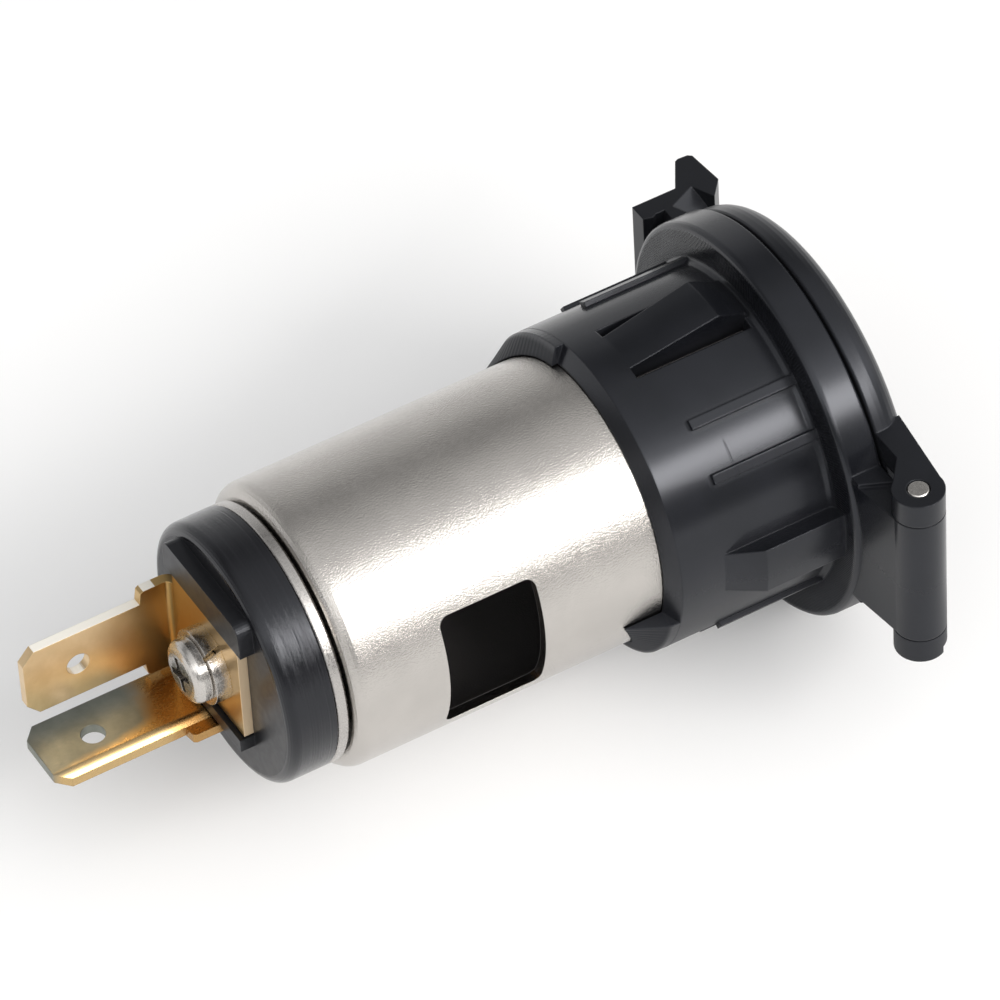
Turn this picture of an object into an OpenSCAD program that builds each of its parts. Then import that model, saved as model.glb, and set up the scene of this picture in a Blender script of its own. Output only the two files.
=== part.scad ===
// Twelve-volt accessory socket for a panel hole, with a hinged cap and two blade terminals.
// Y = 0 is the face of the flange that seats on the panel; +Y runs into the dash, +Z is up.
// The cap hinges on the -X side and its finger tab is on the +X side.

/* [Barrel] */
// outside diameter of the drawn steel barrel
barrel_d = 22.8; // [22:0.1:23.6]
// sheet thickness of the barrel
barrel_wall = 0.8; // [0.6:0.05:1]
// panel seat to the closed end of the barrel
barrel_end = 39.75; // [37:0.25:44]
// outside radius where the barrel turns in at the closed end
barrel_round = 1.2; // [0.9:0.1:2]
// length of the side window along the barrel
window_len = 8.1; // [6:0.1:10]
// height of the side window
window_h = 10.8; // [8:0.2:13]
// panel seat to the front edge of the window
window_start = 24; // [20:0.5:26]

/* [Bezel] */
// diameter over the keys, for the hole in the panel
panel_hole_d = 29; // [28.6:0.1:30]
// diameter of the flange
flange_d = 32; // [31.4:0.1:33]
// thickness of the flange
flange_t = 3; // [2.8:0.1:3.4]
// wall of the sleeve round the barrel
sleeve_wall = 1.45; // [1.2:0.05:1.6]
// panel seat to the rear edge of the sleeve
sleeve_len = 14; // [12:0.25:17]
// how far the tips of the two rising lugs reach past the sleeve
lug_reach = 3.2; // [1.5:0.1:5]
// height of the slim ribs above the sleeve
rib_h = 0.4; // [0.2:0.05:0.8]
// width of a slim rib
rib_w = 0.8; // [0.5:0.05:1.2]

/* [Cap] */
// how far the cap's rim stays inside the flange's
cap_inset = 0.25; // [0:0.05:0.5]
// radius of the domed face
dome_r = 37; // [32:1:60]
// height of the rim with its rounded edge
cap_rim = 2.8; // [2.4:0.1:3.2]
// radius of the rounded edge
cap_soft = 2.1; // [1:0.1:2.2]
// wall of the cap
cap_wall = 1.8; // [1.2:0.1:2.2]
// width of the finger tab
tab_w = 14.4; // [8:0.4:18]

/* [Hinge] */
// distance of the pin from the flange's rim
hinge_reach = 4; // [3.7:0.1:5]
// radius of the knuckles
knuckle_r = 2; // [1.7:0.1:2.2]
// diameter of the pin
pin_d = 1.8; // [1.4:0.1:2]
// half the height of the middle knuckle
knuckle_half = 5.9; // [4.5:0.1:7]
// thickness of each of the cap's ears
ear_t = 2.1; // [1.6:0.1:3]

/* [Rear end] */
// diameter of the insulator and of the ring under it
insulator_d = 20.8; // [20:0.1:21.4]
// thickness of the insulator
insulator_t = 3.95; // [3.2:0.05:5]
// height of the two bars that stop the plate turning
bar_h = 1.2; // [0.6:0.05:1.5]

/* [Terminals] */
// width of both blades
blade_w = 6.3; // [4.8:0.1:6.3]
// sheet thickness of both terminals
blade_t = 0.8; // [0.6:0.05:1]
// length of the positive blade from the insulator to its tip
positive_len = 13.25; // [11:0.25:16]
// length of the ground blade from the insulator to its tip
ground_len = 13.85; // [11:0.25:16]
// diameter of the hole near each tip
blade_hole_d = 1.9; // [1.4:0.1:2.2]
// diameter of the screw's head
head_d = 5.1; // [4.8:0.1:5.6]
// height of the screw's head
head_h = 1.45; // [1.2:0.05:1.8]

/* [Hidden] */
eps = 0.01;
over = 0.5;
barrel_r = barrel_d / 2;
bore_r = barrel_r - barrel_wall;
sleeve_bore_r = barrel_r + 0.1;
sleeve_r = sleeve_bore_r + sleeve_wall;
key_r = panel_hole_d / 2;
flange_r = flange_d / 2;
root_fillet = 0.45;
end_bevel = 0.8;
lip_r = barrel_r + 1.2;
lip_y = -flange_t + 0.5;
mouth_r = lip_r + 0.1;
lug_start = 104.4;
lug_span = 60;
lug_outer_y = sleeve_len - 0.1;
lug_low = 0.5;
rib_spread = 9.5;
rib_len = 9;
tongue_half = 8.7;
slot_half = 13.3;
slot_start = 0.8;
tongue_root = 10.5;
tongue_crest = 3.1;
tongue_toe = 0.35;
key_half = 8.4;
key_ramp = 9.5;
key_top = 6.8;

cap_r = flange_r - cap_inset;
cap_gap = 0.3;
cap_back = -flange_t - cap_gap;
cap_edge = cap_back - cap_rim;
dome_mid = cap_edge + cap_soft + sqrt(pow(dome_r - cap_soft, 2) - pow(cap_r - cap_soft, 2));
cap_front = dome_mid - dome_r;
cap_inner_r = cap_r - cap_wall;
spigot_r = bore_r - 0.5;
spigot_wall = 1.3;
spigot_tip = -flange_t + 1.2;

hinge_x = flange_r + hinge_reach;
hinge_y = -0.9 - knuckle_r;
ear_gap = 0.1;
ear_in = knuckle_half + ear_gap;
ear_out = ear_in + ear_t;
pin_r = pin_d / 2;
pin_play = 0.05;
knuckle_bore = pin_r + pin_play;

latch_in = flange_r + 0.3;
latch_t = 1.6;
latch_out = latch_in + latch_t;
latch_back = -1.4;
tab_reach = 2.7;

ring_y = barrel_end + 0.2;
ring_t = 0.95;
insulator_r = insulator_d / 2;
insulator_y = ring_y + ring_t;
face_y = insulator_y + insulator_t;
insulator_round = 0.9;
spigot_bush_r = 2.9;
screw_r = 1.5;
foot_t = blade_t;
blade_z = -1.05;
bend_r = 0.5;
plate_x = 6;
ground_x = 3.4;
ground_z = -6.3;
plate_low = -4.35;
plate_high = 4.85;
plate_y = face_y + blade_t;
washer_t = 1.25;
washer_r = head_d / 2 + 0.45;
washer_y = plate_y + washer_t;
head_side = 0.48 * head_h;
crown = 1.1;
recess_r = 1.45;
recess_w = 0.6;
recess_depth = 0.9;
disc_t = 1.6;
disc_r = bore_r - 0.8;
floor_y = barrel_end - barrel_wall;
contact_y = floor_y - disc_t;
contact_r = 4.6;
contact_foot = 1;
nose_r = 3.2;
nose_soft = 1.2;
nose_side = 2.6;
nut_y = contact_y - nose_side + 0.4;
contact_tip = contact_y - nose_side - nose_soft;
wall_start = lip_y + 1.2;
wall_end = contact_tip - 0.95;
wall_draw = 0.12;
tip_cut = 1.1;
tip_len = 1;
shoulder = 1.2;

// stands the local Z axis along the row's +Y axis
module along_y() {
  rotate([-90, 0, 0]) children();
}

// local X points outwards at an angle counted from -X towards +Z, local Z points along +Y
module spoke(angle) {
  along_y() rotate([0, 0, 180 + angle]) children();
}

// sweeps a radius and length profile through a sector centred on an angle
module sector(angle, half) {
  spoke(angle - half) rotate_extrude(angle = 2 * half, $fn = 96) children();
}

// one upright extrusion between two heights, drawn in X and Y
module upright(low, high) {
  translate([0, 0, low]) linear_extrude(height = high - low) children();
}

// sleeve, root fillet and flange in one turned profile
module bezel_turned() {
  along_y() rotate_extrude($fn = 96) polygon([
    [sleeve_bore_r - over, -flange_t],
    [flange_r - 0.2, -flange_t],
    [flange_r, -flange_t + 0.2],
    [flange_r, -0.5],
    [flange_r - 0.06, -0.26],
    [flange_r - 0.22, -0.08],
    [flange_r - 0.45, 0],
    [sleeve_r + root_fillet, 0],
    [sleeve_r + root_fillet * 0.35, root_fillet * 0.35],
    [sleeve_r, root_fillet],
    [sleeve_r, sleeve_len - end_bevel],
    [sleeve_bore_r, sleeve_len],
    [sleeve_bore_r - over, sleeve_len]
  ]);
}

// lug on the sleeve's rear edge whose inner edge climbs along the barrel
module lug(angle) {
  steps = 24;
  outer = sleeve_r - 0.02;
  inner = sleeve_bore_r - over;
  slant = (outer - inner) / (outer - sleeve_bore_r);
  low = sleeve_len - 2;
  points = [for (i = [0:steps]) let (
      t = i / steps,
      turn = t * lug_span,
      edge = sleeve_len + lug_low + (lug_reach - lug_low) * t * t,
      top = lug_outer_y + (edge - lug_outer_y) * slant)
    each [
      [outer * cos(turn), outer * sin(turn), low],
      [outer * cos(turn), outer * sin(turn), lug_outer_y],
      [inner * cos(turn), inner * sin(turn), top],
      [inner * cos(turn), inner * sin(turn), low]
    ]];
  faces = [for (i = [0:steps - 1], j = [0:3]) let (k = (j + 1) % 4)
    each [[4 * i + j, 4 * i + k, 4 * i + 4 + k], [4 * i + j, 4 * i + 4 + k, 4 * i + 4 + j]]];
  spoke(angle) polyhedron(
    points = points,
    faces = concat(faces, [[0, 3, 2, 1], [4 * steps, 4 * steps + 1, 4 * steps + 2, 4 * steps + 3]]));
}

// one of the paired slim ribs
module slim_rib(angle) {
  spoke(angle) translate([sleeve_r - over, -rib_w / 2, -over])
    cube([over + rib_h, rib_w, rib_len + over]);
}

// snap tongue that grips the panel behind its crest
module tongue(angle) {
  sector(angle, tongue_half + 0.5) polygon([
    [sleeve_r - over, tongue_root],
    [sleeve_r, tongue_root],
    [key_r, tongue_crest],
    [sleeve_r + tongue_toe, root_fillet],
    [sleeve_r - over, root_fillet]
  ]);
}

// slots on both sides of a tongue
module tongue_slots(angle) {
  for (side = [-1, 1]) {
    mid = angle + side * (tongue_half + slot_half) / 2;
    sector(mid, (slot_half - tongue_half) / 2) polygon([
      [sleeve_bore_r - over, slot_start],
      [key_r + 1, slot_start],
      [key_r + 1, tongue_root + 0.1],
      [sleeve_bore_r - over, tongue_root + 0.1]
    ]);
  }
}

// key that stops the bezel turning in the panel
module key(angle) {
  sector(angle, key_half) polygon([
    [sleeve_r - over, -over],
    [key_r, -over],
    [key_r, key_top],
    [sleeve_r, key_ramp],
    [sleeve_r - over, key_ramp]
  ]);
}

// plate from the flange to the middle knuckle, with a short foot where it leaves the rim
module hinge_plate() {
  upright(-knuckle_half, knuckle_half) polygon([
    [-flange_r + 3.4, -flange_t + 0.1],
    [-hinge_x, -flange_t + 0.1],
    [-hinge_x - 0.24, hinge_y + knuckle_r - 0.05],
    [-flange_r + 0.9, -0.3],
    [-flange_r + 3.4, -0.3]
  ]);
  upright(-knuckle_half - 0.3, knuckle_half + 0.3) polygon([
    [-flange_r + 2.4, -flange_t + 0.15],
    [-flange_r - 0.9, -flange_t + 0.15],
    [-flange_r + 0.3, -0.4],
    [-flange_r + 2.4, -0.4]
  ]);
}

module bezel_housing() {
  color([0.13, 0.135, 0.15]) difference() {
    union() {
      bezel_turned();
      for (side = [0, 180]) lug(lug_start + side);
      for (quarter = [45, 135, 225, 315], side = [-1, 1]) slim_rib(quarter + side * rib_spread);
      for (side = [90, 270]) tongue(side);
      for (side = [0, 180]) key(side);
      hinge_plate();
      translate([-hinge_x, hinge_y, -knuckle_half]) cylinder(h = 2 * knuckle_half, r = knuckle_r, $fn = 48);
    }
    along_y() translate([0, 0, -flange_t - 1])
      cylinder(h = flange_t + sleeve_len + lug_reach + 4, r = sleeve_bore_r, $fn = 96);
    along_y() translate([0, 0, -flange_t - 1]) cylinder(h = 2.3, r = mouth_r, $fn = 96);
    for (side = [90, 270]) tongue_slots(side);
    translate([-hinge_x, hinge_y, -knuckle_half - 1])
      cylinder(h = 2 * knuckle_half + 2, r = knuckle_bore, $fn = 32);
  }
}

// solid dome with its straight rim and softened edge
module cap_blank() {
  intersection() {
    translate([0, dome_mid, 0]) sphere(r = dome_r, $fn = 160);
    along_y() rotate_extrude($fn = 96) polygon(concat(
      [[0, cap_front - 1], [cap_r - cap_soft - 0.5, cap_front - 1], [cap_r - cap_soft - 0.5, cap_edge - 0.6]],
      [for (a = [60:-12:0])
        [cap_r - cap_soft * (1 - cos(a)), cap_edge + cap_soft * (1 - sin(a))]],
      [[cap_r, cap_back - 0.15], [cap_r - 0.15, cap_back], [0, cap_back]]
    ));
  }
}

// hollow under the dome
module cap_hollow() {
  intersection() {
    translate([0, dome_mid, 0]) sphere(r = dome_r - cap_wall, $fn = 160);
    along_y() translate([0, 0, cap_front]) cylinder(h = cap_back - cap_front + 1, r = cap_inner_r, $fn = 96);
  }
}

// ring that fits into the mouth and keeps the dust out
module cap_spigot() {
  along_y() rotate_extrude($fn = 96) polygon([
    [spigot_r - spigot_wall, cap_front + cap_wall],
    [spigot_r, cap_front + cap_wall],
    [spigot_r, spigot_tip - 0.3],
    [spigot_r - 0.3, spigot_tip],
    [spigot_r - spigot_wall, spigot_tip]
  ]);
}

// ear and arm of the cap's hinge
module cap_ear(low, high) {
  upright(low, high) polygon([
    [-hinge_x, hinge_y - knuckle_r + 0.03],
    [-flange_r + 3.2, cap_edge + 0.3],
    [-flange_r + 3.2, cap_back],
    [-flange_r - 0.4, cap_back],
    [-hinge_x + 0.9, hinge_y + knuckle_r - 0.26],
    [-hinge_x, hinge_y + knuckle_r - 0.03]
  ]);
  translate([-hinge_x, hinge_y, low]) cylinder(h = high - low, r = knuckle_r, $fn = 48);
}

// finger tab with the catch that clips over the flange
module cap_latch() {
  upright(-tab_w / 2, tab_w / 2) polygon([
    [latch_in - 1.9, cap_back],
    [latch_in, cap_back],
    [latch_in, latch_back - 1.1],
    [latch_in - 0.22, latch_back - 0.75],
    [latch_in, latch_back],
    [latch_out, latch_back],
    [latch_out, cap_back - 1.9],
    [latch_out + tab_reach - 0.15, cap_back - 3.45],
    [latch_out + tab_reach, cap_back - 3.75],
    [latch_out + tab_reach - 0.05, cap_back - 4.6],
    [latch_out + tab_reach - 0.3, cap_back - 4.9],
    [latch_out - 0.9, cap_back - 5.2],
    [latch_in - 1.9, cap_back - 3]
  ]);
}

// slope at each end of the tab that falls towards the dome
module latch_slope() {
  translate([latch_in + 0.2, cap_back - 1, tab_w / 2]) rotate([0, 0, -65]) rotate([45, 0, 0])
    translate([-0.3, -6, 0]) cube([2.6, 6, 6]);
}

module lid() {
  color([0.13, 0.135, 0.15]) difference() {
    union() {
      difference() {
        cap_blank();
        cap_hollow();
      }
      intersection() {
        cap_spigot();
        translate([0, dome_mid, 0]) sphere(r = dome_r - cap_wall / 2, $fn = 160);
      }
      cap_ear(ear_in, ear_out);
      cap_ear(-ear_out, -ear_in);
      cap_latch();
    }
    for (side = [0, 1]) mirror([0, 0, side]) latch_slope();
    translate([-hinge_x, hinge_y, -ear_out - 1]) cylinder(h = 2 * ear_out + 2, r = pin_r, $fn = 32);
    translate([-hinge_x - knuckle_r - 0.2, hinge_y - knuckle_r - 0.2, -ear_out - 0.4])
      cube([knuckle_r + 0.8, knuckle_r - 0.7, 1]);
  }
}

module hinge_pin() {
  color([0.75, 0.74, 0.7]) translate([-hinge_x, hinge_y, 0]) rotate_extrude($fn = 32) polygon([
    [0, -ear_out],
    [pin_r - 0.15, -ear_out],
    [pin_r, -ear_out + 0.15],
    [pin_r, ear_out - 0.15],
    [pin_r - 0.15, ear_out],
    [0, ear_out]
  ]);
}

// rounded window outline, drawn in Y and Z
module window_cut() {
  corner = 0.8;
  rotate([0, -90, 0]) linear_extrude(height = barrel_r + 2) hull() {
    for (z = [-1, 1], y = [0, 1])
      translate([z * (window_h / 2 - corner), window_start + corner + y * (window_len - 2 * corner)])
        circle(r = corner, $fn = 32);
  }
}

module socket_shell() {
  inner_round = barrel_round - barrel_wall + 0.2;
  drawn_r = bore_r - wall_draw;
  hole_r = spigot_bush_r + 0.05;
  seat_r = 8.5;
  color([0.75, 0.74, 0.71]) difference() {
    along_y() rotate_extrude($fn = 128) polygon(concat(
      [[bore_r + 0.5, lip_y]],
      [[lip_r - 0.15, lip_y], [lip_r, lip_y + 0.15], [lip_r, lip_y + barrel_wall], [barrel_r, lip_y + barrel_wall]],
      [for (a = [0:15:90])
        [barrel_r - barrel_round * (1 - cos(a)), barrel_end - barrel_round * (1 - sin(a))]],
      [[seat_r + 0.3, barrel_end], [seat_r, ring_y], [hole_r, ring_y]],
      [[hole_r, ring_y - barrel_wall], [seat_r - 0.5, ring_y - barrel_wall], [seat_r - 0.2, floor_y]],
      [for (a = [90:-30:0])
        [drawn_r - inner_round * (1 - cos(a)), floor_y - inner_round * (1 - sin(a))]],
      [[drawn_r, wall_end + 1.2], [bore_r, wall_end], [bore_r, wall_start]]
    ));
    window_cut();
  }
}

module ground_ring() {
  hole_r = spigot_bush_r + 0.05;
  color([0.78, 0.77, 0.74]) along_y() rotate_extrude($fn = 96) polygon([
    [hole_r, ring_y],
    [insulator_r - 0.2, ring_y],
    [insulator_r, ring_y + 0.2],
    [insulator_r, ring_y + ring_t - 0.1],
    [insulator_r - 0.1, ring_y + ring_t],
    [hole_r, ring_y + ring_t]
  ]);
}

// outline of the ground terminal's foot seen along Y, drawn in X and Z
module foot_outline(gap) {
  circle(r = 5 + gap, $fn = 64);
  translate([ground_x - blade_w / 2 - shoulder + 0.1 - gap, ground_z - foot_t / 2 - gap])
    square([blade_w + shoulder - 0.1 + 2 * gap, -ground_z + foot_t / 2 + gap]);
}

// extrudes an outline drawn in X and Z between two Y values
module flat_y(y0, y1) {
  translate([0, y1, 0]) rotate([90, 0, 0]) linear_extrude(height = y1 - y0) children();
}

module rear_insulator() {
  color([0.1, 0.1, 0.11]) difference() {
    union() {
      along_y() rotate_extrude($fn = 96) polygon(concat(
        [[0, ring_y - barrel_wall], [spigot_bush_r, ring_y - barrel_wall], [spigot_bush_r, insulator_y]],
        [[insulator_r - 0.15, insulator_y], [insulator_r, insulator_y + 0.15]],
        [for (a = [0:15:90])
          [insulator_r - insulator_round * (1 - cos(a)), face_y - insulator_round * (1 - sin(a))]],
        [[0, face_y]]
      ));
      flat_y(face_y - over, face_y + bar_h) hull() {
        translate([-5.6, plate_high + 0.35]) square([11.4, 0.8]);
        translate([-4.6, plate_high + 2.25]) circle(r = 0.9, $fn = 24);
        translate([4.9, plate_high + 2.25]) circle(r = 0.9, $fn = 24);
      }
      flat_y(face_y - over, face_y + bar_h) translate([-4.3, ground_z + foot_t / 2 + 0.2])
        square([4.3 + plate_x - bend_r - 0.25, plate_low - 0.2 - (ground_z + foot_t / 2 + 0.2)]);
    }
    along_y() translate([0, 0, ring_y - 3]) cylinder(h = insulator_t + 8, r = screw_r + 0.1, $fn = 32);
    difference() {
      flat_y(insulator_y - eps, insulator_y + foot_t) foot_outline(0.1);
      along_y() translate([0, 0, insulator_y - 1]) cylinder(h = foot_t + 2, r = spigot_bush_r, $fn = 48);
    }
    flat_y(insulator_y, face_y + 2)
      translate([ground_x - blade_w / 2 - shoulder, ground_z - foot_t / 2 - 0.1])
      square([blade_w + shoulder + 0.1, foot_t + 0.2]);
  }
}

// blade outline with cut corners, a hole and a shoulder on one or both sides
module blade_outline(root, tip, low_shoulder, high_shoulder) {
  half = blade_w / 2;
  difference() {
    polygon([
      [-half - low_shoulder, root],
      [half + high_shoulder, root],
      [half + high_shoulder, face_y + 3],
      [half + high_shoulder * 0.85, face_y + 3.25],
      [half, face_y + 3.4],
      [half, tip - tip_len],
      [half - tip_cut, tip],
      [-half + tip_cut, tip],
      [-half, tip - tip_len],
      [-half, face_y + 3.4],
      [-half - low_shoulder * 0.85, face_y + 3.25],
      [-half - low_shoulder, face_y + 3]
    ]);
    translate([0, tip - 4.45]) circle(r = blade_hole_d / 2, $fn = 32);
  }
}

module positive_terminal() {
  corner = blade_t + bend_r;
  reach = blade_w / 2 + shoulder;
  color([0.72, 0.55, 0.3]) {
    flat_y(face_y, plate_y) difference() {
      translate([-4.25, plate_low]) square([plate_x - bend_r + 4.25, plate_high - plate_low]);
      circle(r = screw_r + 0.15, $fn = 32);
    }
    upright(blade_z - reach, blade_z + reach) difference() {
      intersection() {
        translate([plate_x - bend_r, face_y + corner]) circle(r = corner, $fn = 48);
        translate([plate_x - bend_r - eps, face_y - 1]) square([corner + 1, corner + 1]);
      }
      translate([plate_x - bend_r, face_y + corner]) circle(r = bend_r, $fn = 48);
    }
    translate([plate_x, 0, blade_z]) rotate([0, -90, 0]) mirror([0, 0, 1])
      linear_extrude(height = blade_t)
      blade_outline(face_y + corner - eps, face_y + positive_len, shoulder, shoulder);
  }
}

module ground_terminal() {
  color([0.62, 0.6, 0.45]) {
    flat_y(insulator_y, insulator_y + foot_t) difference() {
      foot_outline(0);
      circle(r = spigot_bush_r + 0.1, $fn = 48);
    }
    translate([ground_x, 0, ground_z - foot_t / 2])
      linear_extrude(height = blade_t)
      blade_outline(insulator_y, face_y + ground_len, shoulder - 0.1, 0);
  }
}

module terminal_screw() {
  top = washer_y + head_h;
  color([0.8, 0.79, 0.76]) difference() {
    along_y() rotate_extrude($fn = 48) polygon(concat(
      [[0, nut_y], [screw_r - 0.3, nut_y], [screw_r, nut_y + 0.3], [screw_r, washer_y]],
      [[head_d / 2 - 0.1, washer_y], [head_d / 2, washer_y + 0.1], [head_d / 2, washer_y + head_side]],
      [for (a = [15:15:75])
        [head_d / 2 - crown * (1 - cos(a)), washer_y + head_side + (head_h - head_side) * sin(a)]],
      [[head_d / 2 - crown - 0.2, top], [0, top]]
    ));
    for (turn = [20, 110]) along_y() rotate([0, 0, turn])
      translate([-recess_r, -recess_w / 2, top - recess_depth]) cube([2 * recess_r, recess_w, 2]);
    along_y() translate([0, 0, top - recess_depth - 0.3]) cylinder(h = 2, r = recess_w, $fn = 24);
  }
}

// split ring with a slanted gap
module lock_washer() {
  gap = 0.38;
  color([0.8, 0.79, 0.76]) difference() {
    along_y() translate([0, 0, plate_y]) difference() {
      cylinder(h = washer_t, r = washer_r, $fn = 48);
      translate([0, 0, -1]) cylinder(h = washer_t + 2, r = screw_r + 0.1, $fn = 48);
    }
    spoke(58) translate([washer_r - 0.8, 0, plate_y + washer_t / 2])
      rotate([14, 0, 0]) cube([2.8, gap, 4], center = true);
  }
}

module inner_insulator() {
  hole_r = screw_r + 0.1;
  color([0.25, 0.2, 0.16]) along_y() rotate_extrude($fn = 96) polygon([
    [hole_r, contact_y],
    [disc_r - 0.3, contact_y],
    [disc_r, contact_y + 0.3],
    [disc_r, floor_y - 0.1],
    [disc_r - 0.1, floor_y],
    [hole_r, floor_y]
  ]);
}

module centre_contact() {
  color([0.76, 0.6, 0.33]) along_y() rotate_extrude($fn = 64) polygon(concat(
    [[screw_r, contact_y], [contact_r, contact_y], [contact_r, contact_y - contact_foot + 0.2]],
    [[contact_r - 0.2, contact_y - contact_foot], [nose_r, contact_y - contact_foot]],
    [for (a = [0:15:90])
      [nose_r - nose_soft * (1 - cos(a)), contact_y - nose_side - nose_soft * sin(a)]],
    [[0, contact_tip], [0, nut_y], [screw_r, nut_y]]
  ));
}

bezel_housing();
lid();
hinge_pin();
socket_shell();
ground_ring();
rear_insulator();
positive_terminal();
ground_terminal();
terminal_screw();
lock_washer();
inner_insulator();
centre_contact();
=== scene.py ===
"""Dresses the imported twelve-volt accessory socket: materials, studio and reference camera."""
import math

import bpy
from mathutils import Matrix, Vector


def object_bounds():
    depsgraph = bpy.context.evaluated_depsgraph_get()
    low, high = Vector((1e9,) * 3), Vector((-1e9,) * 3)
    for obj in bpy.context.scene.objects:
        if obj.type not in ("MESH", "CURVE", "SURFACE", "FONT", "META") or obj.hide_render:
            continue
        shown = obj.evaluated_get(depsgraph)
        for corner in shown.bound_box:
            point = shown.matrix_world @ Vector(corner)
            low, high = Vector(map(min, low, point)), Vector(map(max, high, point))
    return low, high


MM = 0.001

for name in ("Cube", "Light", "Camera"):
    if name in bpy.data.objects:
        bpy.data.objects.remove(bpy.data.objects[name])

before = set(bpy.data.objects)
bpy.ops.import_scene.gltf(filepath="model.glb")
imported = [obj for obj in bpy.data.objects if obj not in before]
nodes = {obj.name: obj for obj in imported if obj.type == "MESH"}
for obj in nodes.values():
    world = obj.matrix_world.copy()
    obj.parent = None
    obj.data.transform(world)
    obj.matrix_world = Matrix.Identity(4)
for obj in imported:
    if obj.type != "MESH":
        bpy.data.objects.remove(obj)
cad_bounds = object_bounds()

# Places on the part, in metres, as the part's own frame has them; a pair is where a change starts and ends
BARREL_INNER = 10.65 * MM
BARREL_FLOOR = 39.0 * MM
BARREL_MIDDLE = Vector((0.0, 25.0, 0.0)) * MM
SLEEVE_END = 13.0 * MM
SLEEVE_REAR = 14.0 * MM
LOW_SIDE = (-6.0 * MM, 2.0 * MM)
INSULATOR_FACE = 44.85 * MM
INSULATOR_EDGE = 9.55 * MM
PLATE_EDGE_X = -4.0 * MM
BLADE_TIP = 58.7 * MM
BRASS_ROOT = (46.0 * MM, 53.0 * MM)
TIN_ROOT = (48.4 * MM, 50.6 * MM)
TIN_EDGE = (0.6 * MM, 1.7 * MM)
TIN_EDGE_LEAN = 0.13
TIN_WANDER = 1.2 * MM

# The ground blade's rounded -X edge: where its curve starts, how wide it is and how high it rises
ROLL_START = 0.25 * MM
ROLL_WIDTH = 1.2 * MM
ROLL_RISE = 0.9 * MM

# Fine radial ridges on the flange's rear face, which lies at Y = 0
FACE_DEPTH = 0.05 * MM
SERRATIONS = 390.0
SERRATED_RIM = (15.3 * MM, 15.7 * MM)

# The mould's faint line across the sleeve: its place, its width and its span round the barrel's axis
WITNESS_Y = 7.0 * MM
WITNESS_EDGE = (0.02 * MM, 0.09 * MM)
WITNESS_MIDDLE = math.radians(39.0)
WITNESS_END = (math.radians(5.0), math.radians(7.5))

# Colours; a pair is the dark and the light one of a mottled surface
PLASTIC = ((0.0045, 0.005, 0.0065), (0.0075, 0.008, 0.0105))
PLASTIC_TINT = (0.89, 0.92, 1.0)
PHENOLIC = ((0.004, 0.004, 0.005), (0.009, 0.009, 0.011))
PHENOLIC_TINT = (0.9, 0.93, 1.0)
SATIN_NICKEL = (0.55, 0.525, 0.495)
BRIGHT_NICKEL = (0.6, 0.575, 0.545)
RING_NICKEL = (0.5, 0.48, 0.46)
NICKEL_MOTTLE = 0.93
# Painted shade: the dark colour inside the barrel and where the sleeve covers it
BARREL_PAINTED_SHADE = (0.085, 0.08, 0.08)
BRASS = ((0.69, 0.505, 0.29), (0.78, 0.59, 0.36))
# Painted shade and reflection of the dark insulator, browning the brass towards its root
BRASS_ROOT_PAINTED_SHADE = (0.58, 0.385, 0.155)
# Painted highlight: the nearly white colours of the brass's cut edges, standing in for light from above
BLADE_CUT_HIGHLIGHT = (0.93, 0.9, 0.82)
PLATE_CUT_HIGHLIGHT = (0.9, 0.66, 0.4)
TIN = ((0.215, 0.225, 0.195), (0.27, 0.28, 0.245))
TIN_EDGE_GOLD = (0.57, 0.4, 0.19)
TIN_BROWN = (0.44, 0.26, 0.1)
BOARD = ((0.1, 0.055, 0.035), (0.2, 0.13, 0.09))

# Gloss of the blacks; their grain changes the roughness only a little, because more of it leaves specks
BLACK_SPECULAR = 0.44
SKIN_CHANGE = 0.02

# Corners: how open one still is where it gets all of its dullness, and what that adds to the roughness
CORNER_OPENNESS = 0.35
CORNER_DULLNESS = 0.3

# What the other dull places add to the roughness
LUG_TIP_DULLNESS = 0.35
UNDERSIDE_DULLNESS = 0.2
LOW_FACE_DULLNESS = 0.3
INSULATOR_FACE_DULLNESS = 0.16

# Least roughness of the matt surfaces, and what comes off the roughness of the tin along its golden edge
# and at its brown root
MATT = 0.6
EDGE_AND_ROOT_POLISH = 0.22

# How squarely a face has to look along an axis to count as a cut edge
SQUARE_ON = (0.8, 0.95)

# The reference view: a long lens (mm), with the barrel's axis swung and tipped away from it (degrees)
VIEW_SWING = 24.21
VIEW_TIP = 19.4
VIEW_ROLL = 4.9
SEAT_IN_VIEW = Vector((18.21, -5.905, 638.4)) * MM
FOCAL = 306.7
SENSOR = 36.0

FLOOR_SIZE = 12.0
FLOOR_DROP = 1 * MM
FLOOR_WHITE = 0.84
FLOOR_GLOW = 0.11

# Light of the sky by the angle from -X over +Z, in degrees
SKY = ((0, 0.42), (8, 0.34), (20, 0.4), (28, 0.75), (44, 2.35), (58, 1.6), (70, 0.95), (90, 0.74),
       (104, 0.65), (114, 0.4), (124, 0.235), (134, 0.235), (142, 0.46), (155, 0.66), (171, 0.72),
       (180, 0.74))
SKY_PEAK = 3.0
LAMP_COLOUR = (1.0, 0.97, 0.94)


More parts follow.
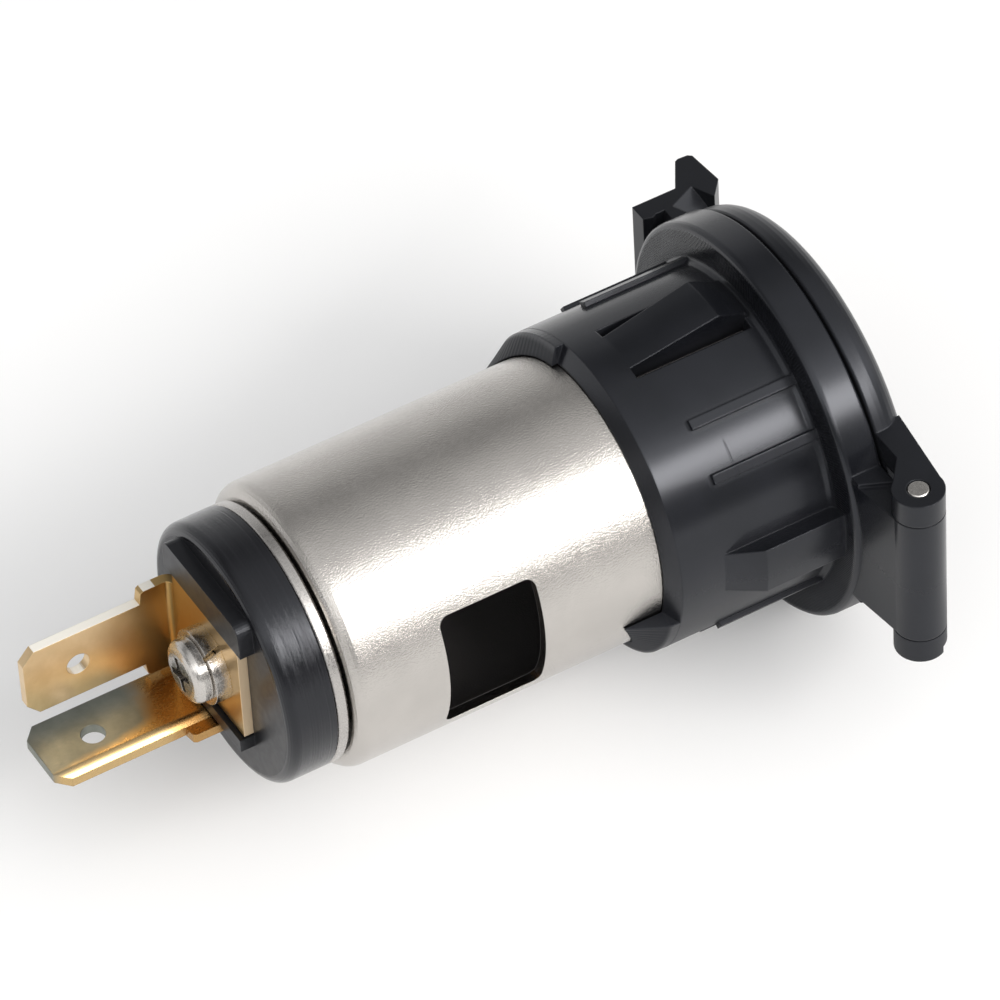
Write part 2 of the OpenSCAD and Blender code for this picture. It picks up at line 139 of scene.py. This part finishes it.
class Graph:
    """One node tree, emptied, with short ways to add nodes and to link them."""

    def __init__(self, tree):
        self.tree = tree
        tree.nodes.clear()

    def add(self, kind, **settings):
        node = self.tree.nodes.new(kind)
        for key, value in settings.items():
            setattr(node, key, value)
        return node

    def link(self, source, target):
        self.tree.links.new(source, target)

    def math(self, operation, a, b=None, clamp=False):
        """Result of one operation; a and b are sockets or numbers."""
        node = self.add("ShaderNodeMath", operation=operation, use_clamp=clamp)
        for slot, value in enumerate((a, b)):
            if value is None:
                continue
            if isinstance(value, (int, float)):
                node.inputs[slot].default_value = value
            else:
                self.link(value, node.inputs[slot])
        return node.outputs[0]

    def noise(self, vector, scale, detail=3.0, roughness=0.55):
        """Noise with scale features to the metre."""
        node = self.add("ShaderNodeTexNoise")
        node.inputs["Scale"].default_value = scale
        node.inputs["Detail"].default_value = detail
        node.inputs["Roughness"].default_value = roughness
        self.link(vector, node.inputs["Vector"])
        return node.outputs["Fac"]

    def spread(self, value, source, target=(0.0, 1.0)):
        """Carries a value smoothly from the source range over to the target range."""
        node = self.add("ShaderNodeMapRange", interpolation_type="SMOOTHSTEP")
        for slot, number in zip(("From Min", "From Max", "To Min", "To Max"), (*source, *target)):
            node.inputs[slot].default_value = number
        self.link(value, node.inputs["Value"])
        return node.outputs["Result"]

    def mix(self, factor, a, b):
        """Colour a where the factor is 0 and b where it is 1; each is a socket or a colour."""
        node = self.add("ShaderNodeMix", data_type="RGBA")
        self.link(factor, node.inputs[0])
        for slot, value in ((6, a), (7, b)):
            if isinstance(value, tuple):
                node.inputs[slot].default_value = (*value, 1.0)
            else:
                self.link(value, node.inputs[slot])
        return node.outputs[2]

    def bump(self, height, strength, depth, normal=None):
        """Normal of a relief that is depth metres high, laid over another normal if one is given."""
        node = self.add("ShaderNodeBump")
        node.inputs["Strength"].default_value = strength
        node.inputs["Distance"].default_value = depth
        self.link(height, node.inputs["Height"])
        if normal is not None:
            self.link(normal, node.inputs["Normal"])
        return node.outputs["Normal"]


def new_material(name):
    """An empty material with a Principled shader: returns (material, graph, shader, object coordinates)."""
    material = bpy.data.materials.new(name)
    material.use_nodes = True
    graph = Graph(material.node_tree)
    shader = graph.add("ShaderNodeBsdfPrincipled")
    output = graph.add("ShaderNodeOutputMaterial")
    graph.link(shader.outputs["BSDF"], output.inputs["Surface"])
    coordinates = graph.add("ShaderNodeTexCoord").outputs["Object"]
    return material, graph, shader, coordinates


def split(graph, vector):
    """x, y, z and the distance from the barrel's axis."""
    parts = graph.add("ShaderNodeSeparateXYZ")
    graph.link(vector, parts.inputs[0])
    x, y, z = parts.outputs
    squares = graph.math("ADD", graph.math("MULTIPLY", x, x), graph.math("MULTIPLY", z, z))
    return x, y, z, graph.math("SQRT", squares)


def between(graph, value, low, high):
    """1 where the value is above low and below high."""
    return graph.math("MULTIPLY", graph.math("GREATER_THAN", value, low),
                      graph.math("LESS_THAN", value, high))


def rounded(graph, radius):
    """Normal that softens the sharp edges of the moulding or stamping."""
    bevel = graph.add("ShaderNodeBevel", samples=6)
    bevel.inputs["Radius"].default_value = radius
    return bevel.outputs["Normal"]


def duller_in_corners(graph, roughness, reach, full):
    """Adds roughness where other surfaces stand within reach, and none where the openness is above full."""
    openness = graph.add("ShaderNodeAmbientOcclusion", samples=4)
    openness.inputs["Distance"].default_value = reach
    dull = graph.spread(openness.outputs["AO"], (CORNER_OPENNESS, full), (CORNER_DULLNESS, 0.0))
    return graph.math("ADD", roughness, dull)


def black_gloss(shader, tint):
    """Slightly weak and bluish reflection of the black materials."""
    shader.inputs["Specular IOR Level"].default_value = BLACK_SPECULAR
    shader.inputs["Specular Tint"].default_value = (*tint, 1.0)


def witness_line(graph, x, y, z):
    """Faint raised line across the sleeve where the two halves of its mould met."""
    off = graph.math("ABSOLUTE", graph.math("SUBTRACT", y, WITNESS_Y))
    angle = graph.math("ARCTAN2", z, graph.math("MULTIPLY", x, -1.0))
    beside = graph.math("ABSOLUTE", graph.math("SUBTRACT", angle, WITNESS_MIDDLE))
    return graph.math("MULTIPLY", graph.spread(off, WITNESS_EDGE, (1.0, 0.0)),
                      graph.spread(beside, WITNESS_END, (1.0, 0.0)))


def serrations(graph, where, x, z, on_face):
    """Fine radial ridges of the flange's rear face, stronger in patches."""
    angle = graph.math("ARCTAN2", z, x)
    teeth = graph.math("SINE", graph.math("MULTIPLY", angle, SERRATIONS))
    patches = graph.spread(graph.noise(where, scale=300.0), (0.3, 0.55), (0.4, 1.0))
    return graph.math("MULTIPLY", graph.math("MULTIPLY", teeth, on_face), patches)


def moulded_plastic(name, smoothest, serrated):
    """Black moulding with a faint skin; the flange's rear face can carry fine radial serrations."""
    material, graph, shader, where = new_material(name)
    x, y, z, radius = split(graph, where)
    cloud = graph.noise(where, scale=170.0)
    grain = graph.noise(where, scale=5200.0, detail=2.0)
    graph.link(graph.mix(graph.spread(cloud, (0.3, 0.7)), *PLASTIC), shader.inputs["Base Color"])
    black_gloss(shader, PLASTIC_TINT)

    roughness = graph.spread(grain, (0.25, 0.75), (smoothest, smoothest + SKIN_CHANGE))
    roughness = duller_in_corners(graph, roughness, reach=3.0 * MM, full=0.8)
    roughness = duller_in_corners(graph, roughness, reach=0.45 * MM, full=0.95)
    lug_tips = graph.spread(y, (SLEEVE_REAR - 0.1 * MM, SLEEVE_REAR + 0.2 * MM), (0.0, LUG_TIP_DULLNESS))
    roughness = graph.math("ADD", roughness, lug_tips)
    underside = graph.spread(z, LOW_SIDE, (UNDERSIDE_DULLNESS, 0.0))
    roughness = graph.math("ADD", roughness, underside)

    waves = graph.noise(where, scale=260.0, detail=0.0)
    normal = graph.bump(grain, strength=0.04, depth=0.02 * MM, normal=rounded(graph, 0.17 * MM))
    normal = graph.bump(waves, strength=0.1, depth=0.1 * MM, normal=normal)
    normal = graph.bump(witness_line(graph, x, y, z), strength=0.45, depth=0.04 * MM, normal=normal)
    if serrated:
        on_face = graph.math("MULTIPLY", between(graph, y, -FACE_DEPTH, FACE_DEPTH),
                             graph.spread(radius, SERRATED_RIM, (1.0, 0.0)))
        ridges = serrations(graph, where, x, z, on_face)
        normal = graph.bump(ridges, strength=1.0, depth=0.03 * MM, normal=normal)
        low_face = graph.math("MULTIPLY", on_face, graph.spread(z, LOW_SIDE, (LOW_FACE_DULLNESS, 0.0)))
        roughness = graph.math("ADD", roughness, low_face)
    graph.link(roughness, shader.inputs["Roughness"])
    graph.link(normal, shader.inputs["Normal"])
    return material


def turned_lines(graph, y, radius):
    """Noise drawn out round the axis and nearly flat across it, like the lines of a turning tool."""
    stretched = graph.add("ShaderNodeCombineXYZ")
    graph.link(graph.math("MULTIPLY", radius, 0.02), stretched.inputs[0])
    graph.link(y, stretched.inputs[1])
    return graph.noise(stretched.outputs[0], scale=4400.0, detail=4.0, roughness=0.8)


def turned_insulator():
    """Glossy black with the lines of the turning tool round its side, and duller on its face."""
    material, graph, shader, where = new_material("turned_black")
    _, y, _, radius = split(graph, where)
    grain = graph.noise(where, scale=1400.0, detail=2.0)
    lines = turned_lines(graph, y, radius)
    graph.link(graph.mix(graph.spread(lines, (0.35, 0.7)), *PHENOLIC), shader.inputs["Base Color"])
    black_gloss(shader, PHENOLIC_TINT)
    side = graph.math("MULTIPLY", graph.math("GREATER_THAN", radius, INSULATOR_EDGE),
                      graph.math("LESS_THAN", y, INSULATOR_FACE))
    face = graph.math("MULTIPLY", graph.math("SUBTRACT", 1.0, side), INSULATOR_FACE_DULLNESS)
    roughness = graph.math("ADD", graph.spread(grain, (0.3, 0.7), (0.13, 0.19)), face)
    graph.link(duller_in_corners(graph, roughness, reach=3.0 * MM, full=0.8), shader.inputs["Roughness"])
    grooves = graph.math("MULTIPLY", lines, side)
    normal = graph.bump(grooves, strength=0.8, depth=0.05 * MM, normal=rounded(graph, 0.1 * MM))
    graph.link(graph.bump(grain, strength=0.08, depth=0.02 * MM, normal=normal), shader.inputs["Normal"])
    return material


def painted_barrel_shade(graph, where):
    """1 inside the barrel and where the sleeve covers it: the places of painted shade, which show only as
    dark gaps.
    """
    _, y, _, radius = split(graph, where)
    inside = graph.math("MULTIPLY", graph.math("LESS_THAN", radius, BARREL_INNER),
                        graph.math("LESS_THAN", y, BARREL_FLOOR))
    return graph.math("MAXIMUM", inside, between(graph, y, 0.0, SLEEVE_END))


def nickel(name, colour, rough, scale, stipple, barrel=False):
    """Nickel plate with a fine stipple; on the barrel, painted shade makes the inside and the part under
    the sleeve a matt, dark non-metal.
    """
    material, graph, shader, where = new_material(name)
    grain = graph.noise(where, scale=scale, roughness=0.65)
    cloud = graph.noise(where, scale=240.0)
    darker = tuple(channel * NICKEL_MOTTLE for channel in colour)
    shade = graph.mix(graph.spread(cloud, (0.3, 0.7)), darker, colour)
    roughness = graph.spread(grain, (0.25, 0.75), (rough * 0.75, rough * 1.3))
    if barrel:
        # Painted shade: dark, matt and not metal inside the barrel and under the sleeve
        dark = painted_barrel_shade(graph, where)
        shade = graph.mix(dark, shade, BARREL_PAINTED_SHADE)
        roughness = graph.math("MAXIMUM", roughness, graph.math("MULTIPLY", dark, MATT))
        graph.link(graph.math("SUBTRACT", 1.0, dark), shader.inputs["Metallic"])
    else:
        shader.inputs["Metallic"].default_value = 1.0
    graph.link(shade, shader.inputs["Base Color"])
    graph.link(roughness, shader.inputs["Roughness"])
    normal = graph.bump(grain, strength=stipple, depth=0.04 * MM, normal=rounded(graph, 0.06 * MM))
    graph.link(normal, shader.inputs["Normal"])
    return material


def drawn_grain(graph, where):
    """Fine grain of rolled strip, longer along the part's Y axis."""
    stretch = graph.add("ShaderNodeMapping")
    stretch.inputs["Scale"].default_value = (1.0, 0.5, 1.0)
    graph.link(where, stretch.inputs["Vector"])
    return graph.noise(stretch.outputs[0], scale=5200.0, roughness=0.7)


def faces_across(graph):
    """How far a face looks along X and along Z: the cut edges of the plate and of the upright blade."""
    face = graph.add("ShaderNodeNewGeometry").outputs["True Normal"]
    turned = graph.add("ShaderNodeVectorTransform", vector_type="NORMAL",
                       convert_from="WORLD", convert_to="OBJECT")
    graph.link(face, turned.inputs[0])
    parts = graph.add("ShaderNodeSeparateXYZ")
    graph.link(turned.outputs[0], parts.inputs[0])
    return graph.math("ABSOLUTE", parts.outputs[0]), graph.math("ABSOLUTE", parts.outputs[2])


def cut_edges(graph, x, y):
    """The sheared edges of the brass, which get a painted highlight: returns (blade's, plate's), each 1 on
    its own edges.
    """
    along_x, along_z = faces_across(graph)
    blade = graph.math("MULTIPLY", graph.spread(along_z, SQUARE_ON),
                       graph.math("GREATER_THAN", y, INSULATOR_FACE + 2.0 * MM))
    plate = graph.math("MULTIPLY", graph.spread(along_x, SQUARE_ON, (0.0, 0.7)),
                       graph.math("LESS_THAN", x, PLATE_EDGE_X))
    plate = graph.math("MULTIPLY", plate, graph.math("GREATER_THAN", y, INSULATOR_FACE - 0.1 * MM))
    return blade, plate


def stamped_brass():
    """Yellow brass of the positive terminal and of the centre contact, with painted shade browning it
    towards the root and a painted highlight on its cut edges.
    """
    material, graph, shader, where = new_material("stamped_brass")
    x, y, _, _ = split(graph, where)
    cloud = graph.noise(where, scale=330.0, detail=4.0)
    tint = graph.mix(graph.spread(cloud, (0.35, 0.65)), *BRASS)
    # Painted shade: browner towards the root, where the dark insulator shades and reflects
    tint = graph.mix(graph.spread(y, BRASS_ROOT, (1.0, 0.0)), tint, BRASS_ROOT_PAINTED_SHADE)
    blade, plate = cut_edges(graph, x, y)
    sheared = graph.math("MAXIMUM", blade, plate)
    # Painted highlight: the cut edges get a pale, less metallic and matt colour
    pale = graph.mix(plate, BLADE_CUT_HIGHLIGHT, PLATE_CUT_HIGHLIGHT)
    graph.link(graph.mix(sheared, tint, pale), shader.inputs["Base Color"])
    graph.link(graph.math("SUBTRACT", 1.0, graph.math("MULTIPLY", sheared, 0.7)), shader.inputs["Metallic"])
    grain = drawn_grain(graph, where)
    roughness = graph.spread(grain, (0.3, 0.7), (0.28, 0.34))
    roughness = graph.math("MAXIMUM", roughness, graph.math("MULTIPLY", sheared, MATT))
    graph.link(roughness, shader.inputs["Roughness"])
    normal = graph.bump(grain, strength=0.03, depth=0.02 * MM, normal=rounded(graph, 0.08 * MM))
    graph.link(normal, shader.inputs["Normal"])
    return material


def tinned_brass():
    """Grey tinned ground terminal: golden along its rounded -X edge and brown at its root."""
    material, graph, shader, where = new_material("tinned_brass")
    x, y, _, _ = split(graph, where)
    shader.inputs["Metallic"].default_value = 1.0
    cloud = graph.noise(where, scale=330.0, detail=4.0)
    wander = graph.math("MULTIPLY", graph.math("SUBTRACT", cloud, 0.5), TIN_WANDER)
    shift = graph.math("MULTIPLY", graph.math("SUBTRACT", BLADE_TIP, y), TIN_EDGE_LEAN)
    leaning = graph.math("SUBTRACT", graph.math("ADD", x, wander), shift)
    edge = graph.spread(leaning, TIN_EDGE, (1.0, 0.0))
    root = graph.spread(graph.math("ADD", y, graph.math("MULTIPLY", wander, 2.0)), TIN_ROOT, (1.0, 0.0))
    tint = graph.mix(graph.spread(cloud, (0.35, 0.65)), *TIN)
    tint = graph.mix(edge, tint, TIN_EDGE_GOLD)
    tint = graph.mix(root, tint, TIN_BROWN)
    graph.link(tint, shader.inputs["Base Color"])
    grain = drawn_grain(graph, where)
    polish = graph.math("MULTIPLY", graph.math("MAXIMUM", edge, root), EDGE_AND_ROOT_POLISH)
    roughness = graph.math("SUBTRACT", graph.spread(grain, (0.3, 0.7), (0.42, 0.52)), polish)
    graph.link(roughness, shader.inputs["Roughness"])
    inward = graph.math("DIVIDE", graph.math("SUBTRACT", x, ROLL_START), ROLL_WIDTH, clamp=True)
    rolled = graph.math("SINE", graph.math("MULTIPLY", inward, math.pi / 2))
    normal = graph.bump(rolled, strength=1.0, depth=ROLL_RISE, normal=rounded(graph, 0.08 * MM))
    graph.link(graph.bump(grain, strength=0.03, depth=0.02 * MM, normal=normal), shader.inputs["Normal"])
    return material


def fibre_board():
    """Brown pressed board of the hidden disc."""
    material, graph, shader, where = new_material("fibre_board")
    flecks = graph.noise(where, scale=1900.0, detail=5.0, roughness=0.7)
    graph.link(graph.mix(flecks, *BOARD), shader.inputs["Base Color"])
    shader.inputs["Roughness"].default_value = 0.75
    graph.link(graph.bump(flecks, strength=0.3, depth=0.03 * MM), shader.inputs["Normal"])
    return material


def dress():
    """Gives every CAD node its material."""
    shell = nickel("satin_nickel", SATIN_NICKEL, rough=0.18, scale=6800.0, stipple=0.9, barrel=True)
    bright = nickel("bright_nickel", BRIGHT_NICKEL, rough=0.24, scale=3800.0, stipple=0.3)
    brass = stamped_brass()
    finish = {
        "bezel_housing": moulded_plastic("bezel_plastic", smoothest=0.21, serrated=True),
        "lid": moulded_plastic("lid_plastic", smoothest=0.29, serrated=False),
        "rear_insulator": turned_insulator(),
        "socket_shell": shell,
        "ground_ring": nickel("ring_nickel", RING_NICKEL, rough=0.28, scale=4200.0, stipple=0.5),
        "hinge_pin": bright,
        "terminal_screw": bright,
        "lock_washer": bright,
        "positive_terminal": brass,
        "centre_contact": brass,
        "ground_terminal": tinned_brass(),
        "inner_insulator": fibre_board(),
    }
    for node, material in finish.items():
        nodes[node].data.materials.clear()
        nodes[node].data.materials.append(material)


def seen_directly(graph):
    """1 for rays that show the floor: from the camera, off gloss or through glass."""
    path = graph.add("ShaderNodeLightPath")
    seen = graph.math("MAXIMUM", path.outputs["Is Camera Ray"], path.outputs["Is Glossy Ray"])
    return graph.math("MAXIMUM", seen, path.outputs["Is Transmission Ray"])


def studio_world():
    """Soft sky by the angle round the Y axis: bright above the hinge side, with a dark gap on the far side.

    Below the horizon it keeps the first level of SKY.
    """
    world = bpy.data.worlds.new("studio")
    bpy.context.scene.world = world
    world.use_nodes = True
    graph = Graph(world.node_tree)
    direction = graph.add("ShaderNodeTexCoord").outputs["Generated"]
    parts = graph.add("ShaderNodeSeparateXYZ")
    graph.link(direction, parts.inputs[0])
    x, _, z = parts.outputs
    around = graph.math("ARCTAN2", z, graph.math("MULTIPLY", x, -1.0))
    share = graph.math("DIVIDE", around, math.pi, clamp=True)
    ramp = graph.add("ShaderNodeValToRGB")
    elements = ramp.color_ramp.elements
    while len(elements) < len(SKY):
        elements.new(0.5)
    for element, (degrees, level) in zip(elements, SKY):
        element.position = degrees / 180.0
        grey = level / SKY_PEAK
        element.color = (grey, grey, grey, 1.0)
    graph.link(share, ramp.inputs["Fac"])
    background = graph.add("ShaderNodeBackground")
    background.inputs["Strength"].default_value = SKY_PEAK
    graph.link(ramp.outputs["Color"], background.inputs["Color"])
    output = graph.add("ShaderNodeOutputWorld")
    graph.link(background.outputs[0], output.inputs["Surface"])


def studio_floor():
    """Pale floor that shows white and keeps the soft shadow."""
    low = cad_bounds[0][2] - FLOOR_DROP
    bpy.ops.mesh.primitive_plane_add(size=FLOOR_SIZE, location=(0.0, 0.0, low))
    floor = bpy.context.object
    floor.name = "floor"
    material = bpy.data.materials.new("floor_white")
    material.use_nodes = True
    graph = Graph(material.node_tree)
    diffuse = graph.add("ShaderNodeBsdfDiffuse")
    diffuse.inputs["Color"].default_value = (FLOOR_WHITE, FLOOR_WHITE, FLOOR_WHITE, 1.0)
    glow = graph.add("ShaderNodeEmission")
    graph.link(graph.math("MULTIPLY", seen_directly(graph), FLOOR_GLOW), glow.inputs["Strength"])
    both = graph.add("ShaderNodeAddShader")
    graph.link(diffuse.outputs[0], both.inputs[0])
    graph.link(glow.outputs[0], both.inputs[1])
    output = graph.add("ShaderNodeOutputMaterial")
    graph.link(both.outputs[0], output.inputs["Surface"])
    floor.data.materials.append(material)


def soft_lamp(name, around, lean, distance, length, breadth, watts):
    """Area lamp aimed at the barrel: around is its angle from -X towards +Z, lean its share along Y."""
    data = bpy.data.lights.new(name, "AREA")
    data.shape = "RECTANGLE"
    data.size = length
    data.size_y = breadth
    data.energy = watts
    data.color = LAMP_COLOUR
    lamp = bpy.data.objects.new(name, data)
    bpy.context.collection.objects.link(lamp)
    flat = math.sqrt(1.0 - lean * lean)
    way = Vector((-math.cos(math.radians(around)) * flat, lean, math.sin(math.radians(around)) * flat))
    lamp.location = BARREL_MIDDLE + way * distance
    lamp.rotation_euler = (-way).to_track_quat("-Z", "Y").to_euler()


def reference_camera():
    """Camera that sees the part as the reference view does.

    side, along and up are the part's X, Y and Z in the view's own axes: right, down and into the picture.
    """
    swing, tip, roll = (math.radians(angle) for angle in (VIEW_SWING, VIEW_TIP, VIEW_ROLL))
    front = Vector((math.cos(tip) * math.cos(swing), -math.cos(tip) * math.sin(swing), math.sin(tip)))
    upright = Vector((0.0, -front.z, front.y)).normalized()
    if upright.y > 0.0:
        upright = -upright
    along = -front
    across = along.cross(upright)
    up = upright * math.cos(roll) + across * math.sin(roll)
    side = along.cross(up)
    place = -(Matrix((side, along, up)) @ SEAT_IN_VIEW)
    right = Vector((side.x, along.x, up.x))
    top = -Vector((side.y, along.y, up.y))
    back = -Vector((side.z, along.z, up.z))
    data = bpy.data.cameras.new("reference")
    data.lens = FOCAL
    data.sensor_width = SENSOR
    data.clip_start = 10 * MM
    camera = bpy.data.objects.new("reference", data)
    bpy.context.collection.objects.link(camera)
    turn = Matrix((right, top, back)).transposed().to_4x4()
    camera.matrix_world = Matrix.Translation(place) @ turn
    bpy.context.scene.camera = camera


dress()
studio_world()
studio_floor()
soft_lamp("key", around=37.0, lean=-0.33, distance=0.62, length=0.5, breadth=0.15, watts=2.35)
reference_camera()
bpy.context.scene.view_settings.view_transform = "Standard"
